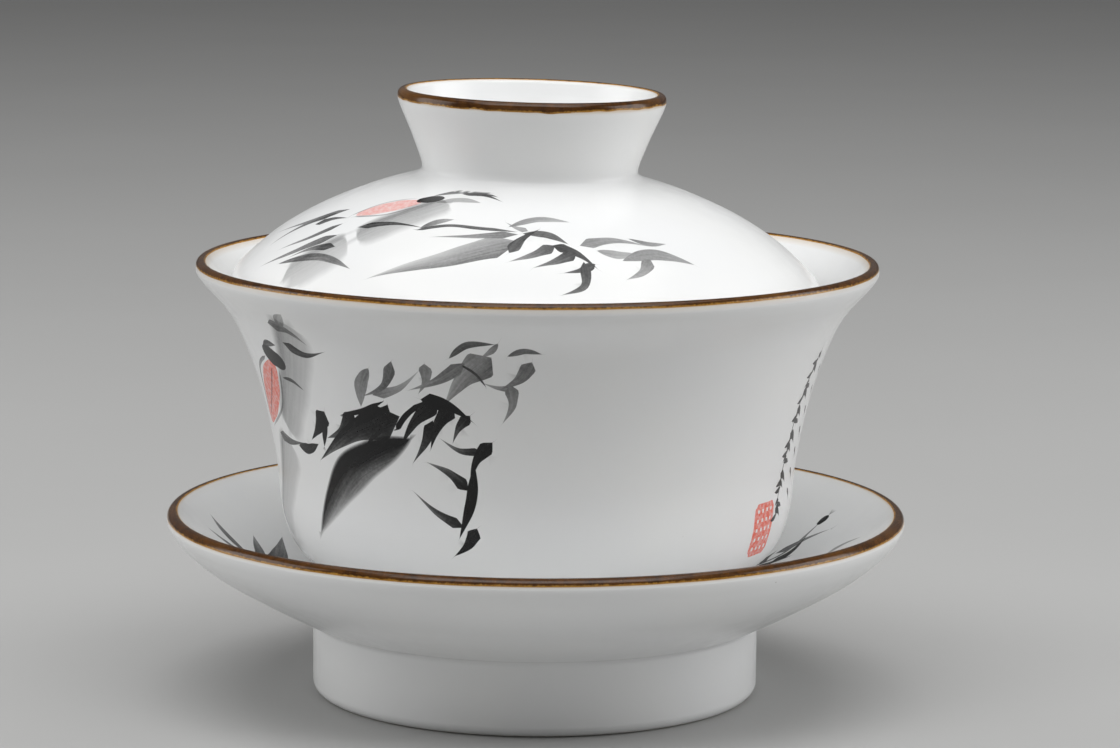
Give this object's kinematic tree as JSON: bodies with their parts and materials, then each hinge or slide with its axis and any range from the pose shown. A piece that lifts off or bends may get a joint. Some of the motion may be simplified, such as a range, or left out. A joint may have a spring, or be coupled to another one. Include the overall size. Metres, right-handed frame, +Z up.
{
  "type": "gaiwan",
  "caption": "Porcelain lidded tea bowl on a high-footed saucer; flared bowl, domed lid with a hollow ring knob, all loose pieces that lift apart.",
  "frame": {"origin": "middle of the circle that the saucer's foot ring stands on", "axes": "+Z up along the axis of the bowl and saucer; -Y is the painted front; +X to the right seen from the front"},
  "size_m": [0.1088, 0.1088, 0.0894],
  "materials": {
    "saucer_glaze": "soft gloss white glaze with grey ink brushwork in the well",
    "bowl_glaze": "soft gloss white glaze with black and grey ink brushwork outside",
    "lid_glaze": "soft gloss white glaze with grey ink brushwork on the dome",
    "rim_glaze": "glossy iron-brown rim line with ochre edges"
  },
  "bodies": {
    "saucer": {"saucer_dish": "saucer_glaze", "saucer_foot_ring": "saucer_glaze"},
    "bowl": {"bowl_body": "bowl_glaze", "bowl_foot_ring": "bowl_glaze"},
    "lid": {"lid_dome": "lid_glaze", "lid_knob": "lid_glaze"}
  },
  "joints": [
    {"name": "bowl_lift", "type": "slide", "parent": "saucer", "child": "bowl", "axis": [0, 0, 1], "range_m": [0, 0.05]},
    {"name": "lid_lift", "type": "slide", "parent": "bowl", "child": "lid", "axis": [0, 0, 1], "range_m": [0, 0.06]}
  ]
}
